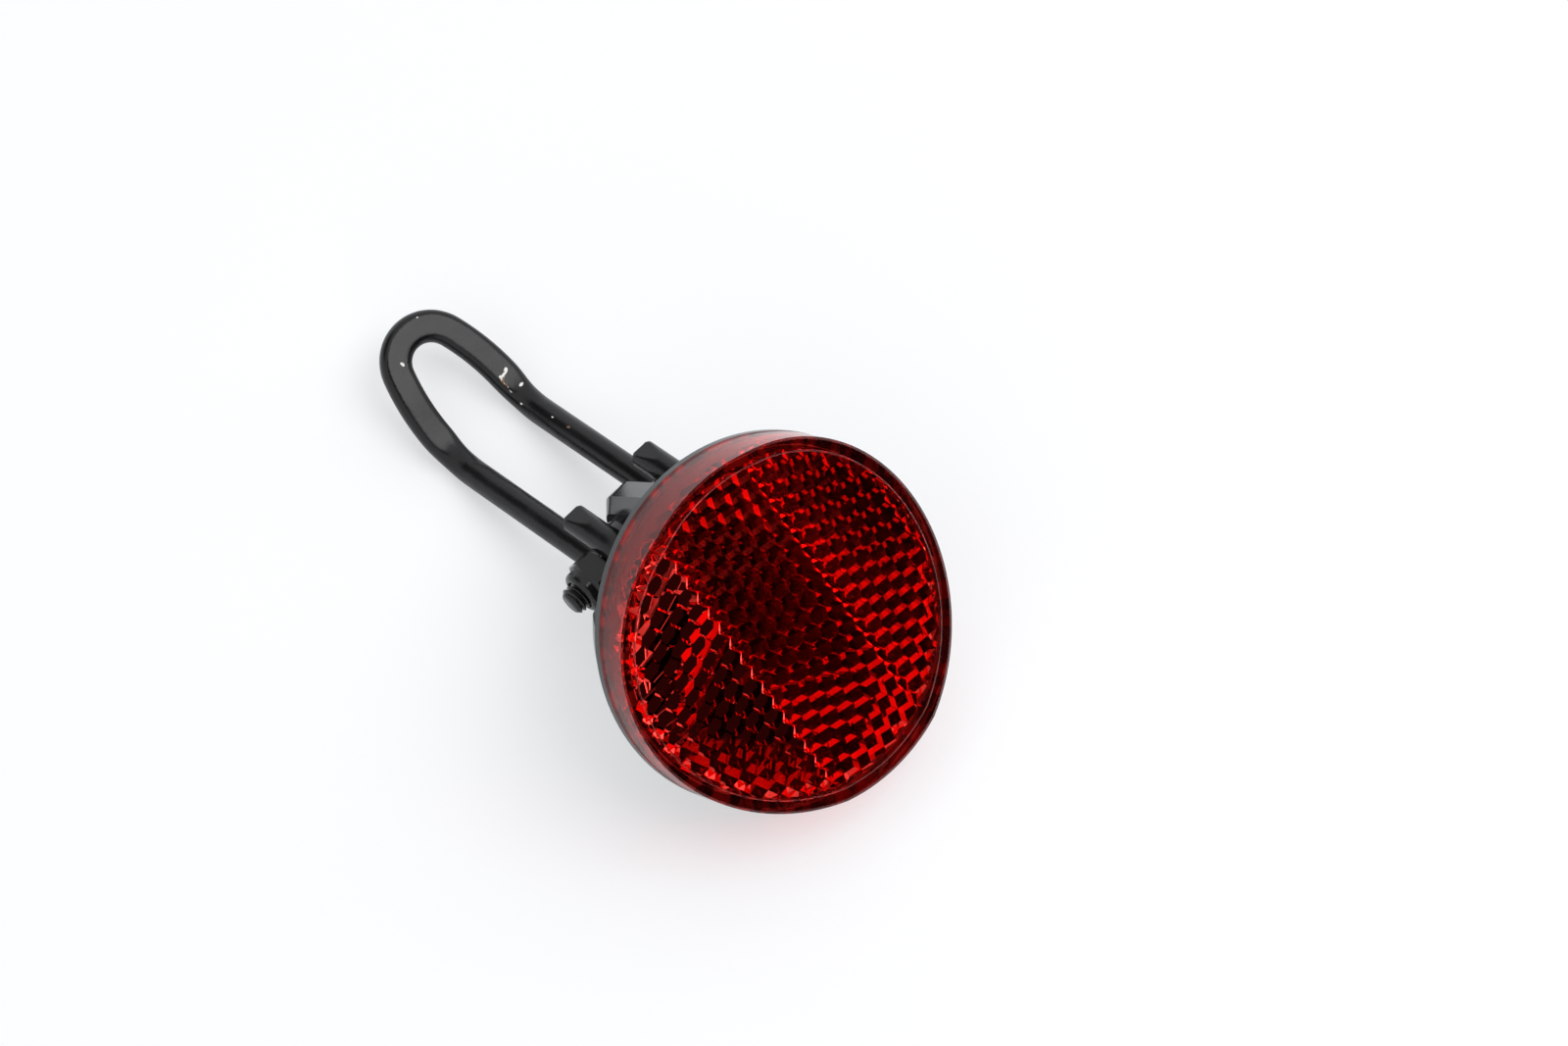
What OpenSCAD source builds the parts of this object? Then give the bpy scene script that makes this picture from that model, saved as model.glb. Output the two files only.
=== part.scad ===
// Round rear reflector for a bicycle, on a bracket of bent wire.
// Origin: centre of the bracket's closed loop end, where the fixing screw passes along Y.
// The loop stands in the XZ plane, the lens faces -Y, and +Z is up. Sizes are millimetres.

/* [Wire bracket] */
// Diameter of the round wire
wire_d = 4; // [3:0.1:5]
// Radius of the wire's centre line round the closed end of the loop
loop_r = 5.2; // [4.6:0.1:6]
// Distance between the centre lines of the two strands
strand_spacing = 13.2; // [12.4:0.1:16]
// Angle at which the legs leave the closed end, away from each other
flare_angle = 18; // [14:1:24]
// Distance from the centre of the closed end down to the bend
loop_len = 9.8; // [9.4:0.1:30]
// Thickness of the loop where it is pressed flat
flat_t = 2.9; // [2.2:0.1:3]
// Angle between the loop and the strands
bend_angle = 43.5; // [10:0.5:80]
// Radius of the wire's centre line at that bend
bend_r = 8; // [6:0.5:14]
// Length of each straight strand between the bend and the hook
strand_len = 31; // [16:0.5:80]
// Length of the straight tail after each hook
hook_tail_len = 7.2; // [3:0.1:14]

/* [Pivot bolt and lock nut] */
// Diameter of the bolt
bolt_d = 4; // [3:0.1:5]
// Length of the bolt under its head
bolt_len = 24.1; // [24:0.1:40]
// Diameter of the bolt's round head
head_d = 8; // [7:0.1:10]
// Height of the bolt's round head
head_h = 2.6; // [2:0.1:4]
// Width of the lock nut across its flats
nut_af = 7; // [7:0.1:10]
// Height of the lock nut's hexagon
nut_hex_h = 3.4; // [2.5:0.1:5]
// Height of the lock nut's round collar above the hexagon
nut_collar_h = 1.6; // [1.2:0.1:2.5]

/* [Lens] */
// Diameter of the lens
lens_d = 50; // [40:0.5:80]
// Height of the lens from the seam to its flat centre band
lens_h = 8.5; // [8.3:0.1:14]
// Width of the flat centre band
band_w = 16.6; // [10:0.1:24]
// Angle at which each side facet falls back
facet_angle = 12; // [4:0.5:13]
// Thickness of the lens plate in front of the prisms
plate_t = 1.9; // [1.2:0.1:2.2]
// Thickness of the lens side wall
lens_wall = 1.85; // [1.2:0.05:3]
// Distance between neighbouring cube-corner prisms
prism_pitch = 2.65; // [2.4:0.05:2.7]

/* [Rear housing] */
// Depth of the housing behind the seam
housing_depth = 8.2; // [6:0.1:9]
// Width of the bead next to the seam
bead_w = 1.2; // [0.5:0.1:2]
// Step from the bead down to the bowl
bead_step = 0.35; // [0.2:0.05:0.6]
// Diameter of the bowl's flat back, over its rounded edge
bowl_d = 44.6; // [34:0.2:48]
// Radius between the bowl's tapered wall and its flat back
back_edge_r = 1.6; // [1:0.1:3]
// Height above the lens's centre at which the bowl is cut flat, to clear the wire
shelf_up = 14.4; // [8:0.2:20]
// Depth of the housing above that cut
shelf_depth = 2.4; // [2:0.1:4]
// Wall thickness of the housing
housing_wall = 1.6; // [1.2:0.1:1.9]

/* [Knuckle and pivot] */
// Height of the pivot above the centre of the lens
pivot_up = 13; // [6:0.5:15]
// Distance of the pivot behind the front of the lens
pivot_back = 26; // [23:0.5:40]
// Tilt of the lens below straight ahead
lens_tilt = 19; // [-40:1:60]
// Radius of the knuckle's round end
knuckle_r = 7; // [5.5:0.1:9]
// Thickness of the knuckle
knuckle_w = 6.4; // [5:0.1:8]
// Width of the chamfer along the knuckle's edges
knuckle_chamfer = 1.7; // [0.5:0.1:2]
// Angle at which the knuckle's faces spread towards the housing
knuckle_spread = 8; // [0:1:12]
// Diameter of the round boss on each side of the knuckle
boss_d = 9; // [8:0.1:10]

/* [Fits] */
// Radial clearance of the bolt in the knuckle and in the hooks
pivot_clearance = 0.1; // [0.05:0.01:0.1]
// Gap between each boss and the hook beside it
side_gap = 0.1; // [0.05:0.01:0.2]
// Gap between the hooks and the faces of the bolt head and nut
seat_gap = 0.05; // [0.02:0.01:0.1]

/* [Hidden] */
$fn = 64;

// Wire bracket
wire_r = wire_d / 2;
strand_x = strand_spacing / 2;
flare_r = (strand_x - loop_r * cos(flare_angle)) / (1 - cos(flare_angle));
flare_top_z = loop_r * sin(flare_angle);
flare_end_z = flare_top_z - flare_r * sin(flare_angle);
hook_r = bolt_d / 2 + pivot_clearance + wire_r;
joint_over = 0.02;
// Y and Z of the strand's upper end, its hooked end and the pivot
strand_top = [-bend_r * (1 - cos(bend_angle)), -loop_len - bend_r * sin(bend_angle)];
strand_foot = strand_top - strand_len * [sin(bend_angle), cos(bend_angle)];
pivot = strand_foot + hook_r * [-cos(bend_angle), sin(bend_angle)];

// Bolt and nut
hook_outer_x = strand_x + wire_r;
head_x = hook_outer_x + seat_gap;
nut_x = -hook_outer_x - seat_gap;
head_edge_h = head_h * 0.35;
head_dome_h = head_h - head_edge_h;
head_dome_r = (pow(head_d / 2, 2) + pow(head_dome_h, 2)) / (2 * head_dome_h);
recess_w = head_d * 0.14;
recess_len = head_d * 0.52;
recess_depth = head_h * 0.6;
bolt_chamfer = 0.5;
thread_clearance = 0.05;
collar_d = nut_af * 0.9;
collar_wall = 0.45;
collar_lip = 0.5;
collar_round = 0.6;
nut_chamfer = 0.45;
insert_gap = 0.03;

// Lens: X across, Y up and Z forward from the front of the centre band
lens_r = lens_d / 2;
lens_inner_r = lens_r - lens_wall;
band_x = band_w / 2;
over = 1;
prism_edge = prism_pitch / sqrt(3);
prism_step = prism_pitch / sqrt(6);
prism_root = 0.15;
prism_embed = 0.5;
prism_wall_embed = 0.5;

// Housing and knuckle, in the lens's own axes
seam_z = -lens_h;
back_z = seam_z - housing_depth;
rim_r = lens_r - bead_step;
spigot_gap = 0.15;
spigot_h = 0.6;
spigot_w = 1.2;
knuckle_embed = 0.5;
boss_x = strand_x - wire_r - side_gap;
bore_r = bolt_d / 2 + pivot_clearance;

// Section of the wire: round, or pressed flat on both sides to a thickness
module wire_section(thick) {
    intersection() {
        circle(d = wire_d);
        square([2 * wire_d, thick], center = true);
    }
}

// Straight piece of wire along +Z, with what follows at its end
module straight(length, thick = wire_d) {
    if (thick < wire_d) linear_extrude(length) wire_section(thick);
    else cylinder(d = wire_d, h = length);
    translate([0, 0, length]) children();
}

// Wire bent from +Z towards +X, with what follows at its end
module bend(radius, angle, thick = wire_d) {
    translate([radius, 0, 0]) {
        rotate([90, 0, 180]) rotate_extrude(angle = angle) translate([radius, 0])
            if (thick < wire_d) wire_section(thick);
            else circle(d = wire_d);
        rotate([0, angle, 0]) translate([-radius, 0, 0]) children();
    }
}

// Joins two neighbouring pieces of the wire, a hair proud of them
module joint(thick = wire_d) {
    intersection() {
        sphere(d = wire_d + joint_over);
        cube([2 * wire_d, thick + joint_over, 2 * wire_d], center = true);
    }
    children();
}

// Bending plan from the middle of the closed end to one cut end
module half_wire() {
    translate([0, 0, loop_r]) rotate([0, 90, 0])
        bend(loop_r, 90 - flare_angle, flat_t) joint(flat_t)
        bend(flare_r, flare_angle, flat_t) joint(flat_t)
        straight(flare_end_z + loop_len, flat_t) joint()
        rotate([0, 0, -90]) bend(bend_r, bend_angle) joint()
        straight(strand_len) joint()
        bend(hook_r, 180) joint()
        straight(hook_tail_len);
}

module wire_bracket() {
    color([0.05, 0.05, 0.055]) for (side = [0, 1]) mirror([side, 0, 0]) half_wire();
}

// Puts a piece made along +Z on the pivot, along +X
module on_pivot() translate([0, pivot.x, pivot.y]) rotate([0, 90, 0]) children();

module pivot_bolt() {
    color([0.12, 0.12, 0.13]) on_pivot() difference() {
        union() {
            // shank with a chamfered end
            translate([0, 0, head_x - bolt_len + bolt_chamfer]) cylinder(d = bolt_d, h = bolt_len - bolt_chamfer + over / 2);
            translate([0, 0, head_x - bolt_len])
                cylinder(d1 = bolt_d - 2 * bolt_chamfer, d2 = bolt_d, h = bolt_chamfer);
            // round head
            translate([0, 0, head_x]) cylinder(d = head_d, h = head_edge_h);
            translate([0, 0, head_x + head_edge_h]) intersection() {
                translate([0, 0, head_dome_h - head_dome_r]) sphere(r = head_dome_r);
                cylinder(d = head_d, h = head_dome_h + over);
            }
        }
        // cross recess
        for (turn = [0, 90]) rotate([0, 0, turn])
            translate([-recess_w / 2, -recess_len / 2, head_x + head_h - recess_depth])
                cube([recess_w, recess_len, recess_depth + over]);
    }
}

module lock_nut() {
    collar_r = collar_d / 2;
    nut_h = nut_hex_h + nut_collar_h;
    color([0.09, 0.09, 0.1]) on_pivot() translate([0, 0, nut_x]) mirror([0, 0, 1]) difference() {
        union() {
            intersection() {
                cylinder(d = nut_af / cos(30), h = nut_hex_h, $fn = 6);
                // corners turned off at both faces
                rotate_extrude() polygon([
                    [0, 0], [nut_af / 2 + nut_chamfer / 4, 0], [nut_af / cos(30) / 2, nut_chamfer],
                    [nut_af / cos(30) / 2, nut_hex_h - nut_chamfer], [nut_af / 2 + nut_chamfer / 4, nut_hex_h],
                    [0, nut_hex_h]
                ]);
            }
            // collar, rounded over the insert
            rotate_extrude() {
                translate([0, nut_hex_h - nut_chamfer]) square([collar_r, nut_chamfer + nut_collar_h - collar_round]);
                translate([0, nut_h - collar_round]) square([collar_r - collar_round, collar_round]);
                translate([collar_r - collar_round, nut_h - collar_round]) intersection() {
                    circle(r = collar_round);
                    square(collar_round);
                }
            }
        }
        translate([0, 0, -over]) cylinder(r = bolt_d / 2 + thread_clearance, h = nut_h + 2 * over);
        // seat of the insert, and the opening left by the rounded lip
        translate([0, 0, nut_hex_h]) cylinder(r = collar_r - collar_wall, h = nut_collar_h - collar_lip);
        translate([0, 0, nut_hex_h]) cylinder(r = collar_r - collar_wall - collar_lip, h = nut_collar_h + over);
    }
}

module nut_insert() {
    color([0.13, 0.13, 0.14]) on_pivot() translate([0, 0, nut_x - nut_hex_h - insert_gap]) mirror([0, 0, 1])
        difference() {
            cylinder(r = collar_d / 2 - collar_wall - insert_gap, h = nut_collar_h - collar_lip - 2 * insert_gap);
            translate([0, 0, -over]) cylinder(r = bolt_d / 2 + thread_clearance, h = nut_collar_h + 2 * over);
        }
}

// Puts a piece made in the lens's own axes in its place on the pivot
module on_lens_axes() {
    translate([0, pivot.x, pivot.y]) rotate([lens_tilt, 0, 0]) translate([0, -pivot_back, -pivot_up])
        rotate([90, 0, 0]) children();
}

// Everything in front of the lens's three faces, moved back by depth
module in_front_of_faces(depth) {
    reach = 2 * lens_r;
    translate([-reach, -reach, -depth]) cube([2 * reach, 2 * reach, reach]);
    for (side = [0, 1]) mirror([side, 0, 0])
        translate([band_x, 0, 0]) rotate([0, facet_angle, 0]) translate([0, -reach, -depth])
            cube([reach, 2 * reach, reach]);
}

// Lattice point of the prism field: columns along X, rows along Y
function lattice_x(i, j) = (i + j / 2) * prism_edge;
function lattice_y(j) = j * prism_edge * sqrt(3) / 2;
// The three heights of the cube corners repeat along the lattice
function lattice_level(i, j) = (((j - i) % 3) + 3) % 3;

// Corners of the small triangle at i, j: up = 0 points down the rows, up = 1 is its neighbour
function tri(i, j, up) = up == 0 ? [[i, j], [i + 1, j], [i, j + 1]] : [[i + 1, j], [i + 1, j + 1], [i, j + 1]];
function mid(t) = [
    (lattice_x(t[0].x, t[0].y) + lattice_x(t[1].x, t[1].y) + lattice_x(t[2].x, t[2].y)) / 3,
    (lattice_y(t[0].y) + lattice_y(t[1].y) + lattice_y(t[2].y)) / 3
];

// One panel of cube corners, from x0 to x1 across, hanging from the plane z = 0
module prism_panel(x0, x1, shift, slope) {
    n = ceil(lens_d / prism_edge);
    field_r = lens_inner_r + prism_wall_embed;
    // kept where the middle lies in the panel and inside the round wall
    function kept(i, j, up) = let (m = mid(tri(i, j, up)))
        m.x > x0 && m.x < x1 && norm([shift + m.x * cos(slope), m.y]) < field_r;
    function across(i, j, up, e) = up == 0
        ? (e == 0 ? [i, j - 1, 1] : e == 1 ? [i, j, 1] : [i - 1, j, 1])
        : (e == 0 ? [i + 1, j, 0] : e == 1 ? [i, j + 1, 0] : [i, j, 0]);
    function low(p) = [lattice_x(p.x, p.y), lattice_y(p.y), -prism_root - lattice_level(p.x, p.y) * prism_step];
    function high(p) = [lattice_x(p.x, p.y), lattice_y(p.y), prism_embed];
    cells = [for (j = [-n:n], i = [-2 * n:2 * n], up = [0, 1]) if (kept(i, j, up)) [i, j, up]];
    prism_faces = [for (c = cells) let (t = tri(c.x, c.y, c.z)) each [
        [low(t[0]), low(t[1]), low(t[2])],
        [high(t[2]), high(t[1]), high(t[0])]
    ]];
    wall_faces = [for (c = cells, e = [0:2])
        let (t = tri(c.x, c.y, c.z), q = across(c.x, c.y, c.z, e), a = t[e], b = t[(e + 1) % 3])
        if (!kept(q[0], q[1], q[2])) each [[low(b), low(a), high(a)], [low(b), high(a), high(b)]]];
    faces = concat(prism_faces, wall_faces);
    polyhedron(
        points = [for (f = faces) each f],
        faces = [for (k = [0:len(faces) - 1]) [3 * k, 3 * k + 1, 3 * k + 2]]
    );
}

module lens() {
    color([0.75, 0.02, 0.04, 0.9]) on_lens_axes() {
        difference() {
            translate([0, 0, seam_z]) cylinder(r = lens_r, h = lens_h);
            in_front_of_faces(0);
            difference() {
                translate([0, 0, seam_z - over]) cylinder(r = lens_inner_r, h = lens_h + over);
                in_front_of_faces(plate_t);
            }
        }
        translate([0, 0, -plate_t]) prism_panel(-band_x, band_x, 0, 0);
        for (side = [0, 1]) mirror([side, 0, 0])
            translate([band_x, 0, 0]) rotate([0, facet_angle, 0]) translate([0, 0, -plate_t])
                prism_panel(0, lens_r, band_x, facet_angle);
    }
}

// Section of the bowl, taken in all round by inset: radius across, depth up
module bowl_section(inset) {
    top = [rim_r - inset, seam_z - bead_w];
    edge_r = max(back_edge_r - inset, knuckle_embed);
    edge = [bowl_d / 2 - inset - edge_r, back_z + inset + edge_r];
    out = top - edge;
    normal = atan2(out.y, out.x) - acos(edge_r / norm(out));
    polygon([
        [0, seam_z], [top.x, seam_z], top, edge + edge_r * [cos(normal), sin(normal)], edge,
        [edge.x, back_z + inset], [0, back_z + inset]
    ]);
    translate(edge) circle(r = edge_r);
}

// Bowl with its flat cut above the knuckle's foot
module bowl(inset) {
    difference() {
        rotate_extrude() bowl_section(inset);
        translate([-lens_r, shelf_up - inset, back_z - over])
            cube([lens_d, lens_r, housing_depth - shelf_depth + inset + over]);
    }
}

// Ring round the axis, from z0 up
module ring(outer, inner, z0, height) {
    translate([0, 0, z0]) rotate_extrude() translate([inner, 0]) square([outer - inner, height]);
}

// Side view of the knuckle, taken in all round by inset: depth across, height up
module knuckle_side(inset) {
    root = seam_z - shelf_depth + knuckle_embed;
    root_h = (knuckle_r - inset) / cos(knuckle_spread) + (root + pivot_back) * tan(knuckle_spread);
    hull() {
        translate([-pivot_back, pivot_up]) circle(r = knuckle_r - inset);
        polygon([
            [root, pivot_up - root_h], [root, min(pivot_up + root_h, rim_r - 2 * bead_w)],
            [root - over / 2, pivot_up]
        ]);
    }
}

module knuckle() {
    // turned so that the side view stands in the plane of depth and height
    rotate([0, -90, 0]) hull() {
        translate([0, 0, -knuckle_w / 2 + knuckle_chamfer])
            linear_extrude(knuckle_w - 2 * knuckle_chamfer) knuckle_side(0);
        translate([0, 0, -knuckle_w / 2]) linear_extrude(knuckle_w) knuckle_side(knuckle_chamfer);
    }
    translate([-boss_x, pivot_up, -pivot_back]) rotate([0, 90, 0]) cylinder(d = boss_d, h = 2 * boss_x);
}

module rear_housing() {
    color([0.1, 0.1, 0.11]) on_lens_axes() {
        difference() {
            union() {
                ring(lens_r, lens_inner_r, seam_z - bead_w, bead_w);
                bowl(0);
                knuckle();
            }
            bowl(housing_wall);
            translate([-boss_x - over, pivot_up, -pivot_back]) rotate([0, 90, 0])
                cylinder(r = bore_r, h = 2 * (boss_x + over));
        }
        // spigot that centres the lens
        ring(lens_inner_r - spigot_gap, lens_inner_r - spigot_gap - spigot_w, seam_z - bead_w, bead_w + spigot_h);
    }
}

lens();
rear_housing();
wire_bracket();
pivot_bolt();
lock_nut();
nut_insert();
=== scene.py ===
import math

import bmesh
import bpy
from mathutils import Matrix, Vector


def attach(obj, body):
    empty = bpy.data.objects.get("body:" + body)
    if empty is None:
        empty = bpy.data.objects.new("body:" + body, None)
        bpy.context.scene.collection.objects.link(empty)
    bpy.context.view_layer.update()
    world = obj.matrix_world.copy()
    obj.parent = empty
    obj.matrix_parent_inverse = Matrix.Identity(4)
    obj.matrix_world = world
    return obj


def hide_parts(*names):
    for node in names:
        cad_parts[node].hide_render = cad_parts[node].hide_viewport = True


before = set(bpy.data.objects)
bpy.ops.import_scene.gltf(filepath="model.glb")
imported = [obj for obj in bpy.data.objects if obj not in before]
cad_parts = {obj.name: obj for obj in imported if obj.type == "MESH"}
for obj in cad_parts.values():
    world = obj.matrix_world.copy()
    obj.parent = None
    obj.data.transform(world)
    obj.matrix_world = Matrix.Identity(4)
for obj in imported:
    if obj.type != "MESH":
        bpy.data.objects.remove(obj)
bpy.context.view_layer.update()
mm = 0.001

# where the reflector sits in the bracket's frame, as in the CAD
pivotPoint = Vector((0.0, -26.51004, -34.97118)) * mm
lensTilt = math.radians(19.0)
lensFront = {"up": -13.0 * mm, "back": -26.0 * mm}


def lensToRow(x, up, forward):
    # a point given in the lens's own axes: across, up, and forward from the flat band
    y = lensFront["back"] - forward
    z = lensFront["up"] + up
    turned = Matrix.Rotation(lensTilt, 3, "X") @ Vector((x, y, z))
    return pivotPoint + turned


# ---- shader helpers

def newMaterial(name):
    material = bpy.data.materials.new(name)
    material.use_nodes = True
    nodes = material.node_tree.nodes
    shader = nodes["Principled BSDF"]
    return material, nodes, material.node_tree.links, shader


def dress(node, material):
    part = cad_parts[node]
    part.data.materials.clear()
    part.data.materials.append(material)


def makeGroup(name, inputs, outputs):
    group = bpy.data.node_groups.new(name, "ShaderNodeTree")
    for label, kind, value in inputs:
        socket = group.interface.new_socket(name=label, in_out="INPUT", socket_type=kind)
        if value is not None:
            socket.default_value = value
    for label, kind in outputs:
        group.interface.new_socket(name=label, in_out="OUTPUT", socket_type=kind)
    start = group.nodes.new("NodeGroupInput")
    end = group.nodes.new("NodeGroupOutput")
    return group, start, end


def placeGroup(nodes, group, values):
    node = nodes.new("ShaderNodeGroup")
    node.node_tree = group
    for label, value in values.items():
        node.inputs[label].default_value = value
    return node


# soft mottling of gloss and height, as on moulded and painted surfaces
def surfaceGrainGroup():
    group, start, end = makeGroup(
        "surfaceGrain",
        [("Scale", "NodeSocketFloat", 900.0), ("Gloss Low", "NodeSocketFloat", 0.3),
         ("Gloss High", "NodeSocketFloat", 0.4), ("Height", "NodeSocketFloat", 0.05),
         ("Dark", "NodeSocketColor", (0.02, 0.02, 0.02, 1)), ("Light", "NodeSocketColor", (0.04, 0.04, 0.04, 1))],
        [("Color", "NodeSocketColor"), ("Roughness", "NodeSocketFloat"), ("Normal", "NodeSocketVector")],
    )
    nodes, links = group.nodes, group.links
    place = nodes.new("ShaderNodeTexCoord")
    fine = nodes.new("ShaderNodeTexNoise")
    fine.inputs["Detail"].default_value = 4
    broad = nodes.new("ShaderNodeTexNoise")
    broad.inputs["Scale"].default_value = 90
    broad.inputs["Detail"].default_value = 3
    links.new(place.outputs["Object"], fine.inputs["Vector"])
    links.new(place.outputs["Object"], broad.inputs["Vector"])
    links.new(start.outputs["Scale"], fine.inputs["Scale"])
    gloss = nodes.new("ShaderNodeMapRange")
    links.new(broad.outputs["Fac"], gloss.inputs["Value"])
    gloss.inputs["From Min"].default_value = 0.35
    gloss.inputs["From Max"].default_value = 0.65
    links.new(start.outputs["Gloss Low"], gloss.inputs["To Min"])
    links.new(start.outputs["Gloss High"], gloss.inputs["To Max"])
    tone = nodes.new("ShaderNodeMix")
    tone.data_type = "RGBA"
    links.new(broad.outputs["Fac"], tone.inputs["Factor"])
    links.new(start.outputs["Dark"], tone.inputs["A"])
    links.new(start.outputs["Light"], tone.inputs["B"])
    bump = nodes.new("ShaderNodeBump")
    bump.inputs["Distance"].default_value = 0.0001
    links.new(start.outputs["Height"], bump.inputs["Strength"])
    links.new(fine.outputs["Fac"], bump.inputs["Height"])
    links.new(tone.outputs["Result"], end.inputs["Color"])
    links.new(gloss.outputs["Result"], end.inputs["Roughness"])
    links.new(bump.outputs["Normal"], end.inputs["Normal"])
    return group


surfaceGrain = surfaceGrainGroup()


def grainyMaterial(name, sizes, specular=0.5, metallic=0.0, coat=0.0):
    material, nodes, links, shader = newMaterial(name)
    grain = placeGroup(nodes, surfaceGrain, sizes)
    links.new(grain.outputs["Color"], shader.inputs["Base Color"])
    links.new(grain.outputs["Roughness"], shader.inputs["Roughness"])
    links.new(grain.outputs["Normal"], shader.inputs["Normal"])
    shader.inputs["Specular IOR Level"].default_value = specular
    shader.inputs["Metallic"].default_value = metallic
    shader.inputs["Coat Weight"].default_value = coat
    shader.inputs["Coat Roughness"].default_value = 0.08
    return material


housingPlastic = grainyMaterial(
    "housingPlastic",
    {"Scale": 2600.0, "Gloss Low": 0.1, "Gloss High": 0.2, "Height": 0.08,
     "Dark": (0.006, 0.006, 0.007, 1), "Light": (0.011, 0.011, 0.012, 1)},
)


# a ragged spot round a place, for chipped paint and scuffs
def raggedSpotGroup():
    group, start, end = makeGroup(
        "raggedSpot",
        [("Place", "NodeSocketVector", (0, 0, 0)), ("Stretch", "NodeSocketVector", (1, 1, 1)),
         ("Size", "NodeSocketFloat", 0.0004), ("Ragged", "NodeSocketFloat", 0.0003)],
        [("Mask", "NodeSocketFloat")],
    )
    nodes, links = group.nodes, group.links
    place = nodes.new("ShaderNodeTexCoord")
    rough = nodes.new("ShaderNodeTexNoise")
    rough.inputs["Scale"].default_value = 2600
    rough.inputs["Detail"].default_value = 3
    links.new(place.outputs["Object"], rough.inputs["Vector"])
    apart = nodes.new("ShaderNodeVectorMath")
    apart.operation = "SUBTRACT"
    links.new(place.outputs["Object"], apart.inputs[0])
    links.new(start.outputs["Place"], apart.inputs[1])
    drawn = nodes.new("ShaderNodeVectorMath")
    drawn.operation = "MULTIPLY"
    links.new(apart.outputs["Vector"], drawn.inputs[0])
    links.new(start.outputs["Stretch"], drawn.inputs[1])
    far = nodes.new("ShaderNodeVectorMath")
    far.operation = "LENGTH"
    links.new(drawn.outputs["Vector"], far.inputs[0])
    uneven = nodes.new("ShaderNodeMath")
    uneven.operation = "SUBTRACT"
    links.new(rough.outputs["Fac"], uneven.inputs[0])
    uneven.inputs[1].default_value = 0.5
    edge = nodes.new("ShaderNodeMath")
    edge.operation = "MULTIPLY_ADD"
    links.new(uneven.outputs["Value"], edge.inputs[0])
    links.new(start.outputs["Ragged"], edge.inputs[1])
    links.new(far.outputs["Value"], edge.inputs[2])
    left = nodes.new("ShaderNodeMath")
    left.operation = "SUBTRACT"
    links.new(start.outputs["Size"], left.inputs[0])
    links.new(edge.outputs["Value"], left.inputs[1])
    mask = nodes.new("ShaderNodeMapRange")
    mask.inputs["From Min"].default_value = 0
    mask.inputs["From Max"].default_value = 0.00004
    links.new(left.outputs["Value"], mask.inputs["Value"])
    links.new(mask.outputs["Result"], end.inputs["Mask"])
    return group


raggedSpot = raggedSpotGroup()

# chips in the wire's paint: place in mm, stretch, size and raggedness in mm
paintChips = [
    ((-3.75, -1.4, 2.71), (1.0, 0.5, 0.62), 0.24, 0.35),
    ((6.85, -1.4, -7.45), (0.9, 0.5, 1.1), 0.33, 0.4),
    ((6.3, -1.4, -7.68), (0.55, 0.5, 1.3), 0.3, 0.3),
    ((5.72, -1.4, -7.85), (0.8, 0.5, 0.8), 0.34, 0.4),
    ((5.4, -1.3, -8.3), (1.3, 0.5, 0.6), 0.26, 0.5),
    ((5.4, -1.3, -9.0), (1.5, 0.5, 0.4), 0.2, 0.6),
    ((5.3, -1.3, -10.1), (1.6, 0.5, 0.5), 0.17, 0.5),
    ((6.99, -1.6, -10.4), (0.55, 0.4, 1.0), 0.26, 0.3),
    ((5.18, -1.8, -12.4), (1.0, 0.5, 0.7), 0.13, 0.7),
    ((6.04, -5.93, -16.45), (1.0, 0.3, 0.8), 0.13, 0.7),
    ((6.16, -8.1, -18.75), (1.0, 0.3, 0.8), 0.16, 0.5),
    ((2.3, -1.4, 6.1), (0.8, 0.5, 1.0), 0.12, 0.3),
    ((-5.5, -1.2, 3.0), (1.0, 0.5, 0.8), 0.12, 0.4),
    ((-8.0, -24.4, -26.9), (0.8, 0.6, 0.6), 0.24, 0.9),
    ((-6.7, -24.2, -26.6), (0.5, 0.6, 0.6), 0.24, 0.9),
    ((5.6, -24.3, -26.7), (0.6, 0.6, 0.6), 0.24, 0.9),
]


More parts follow.
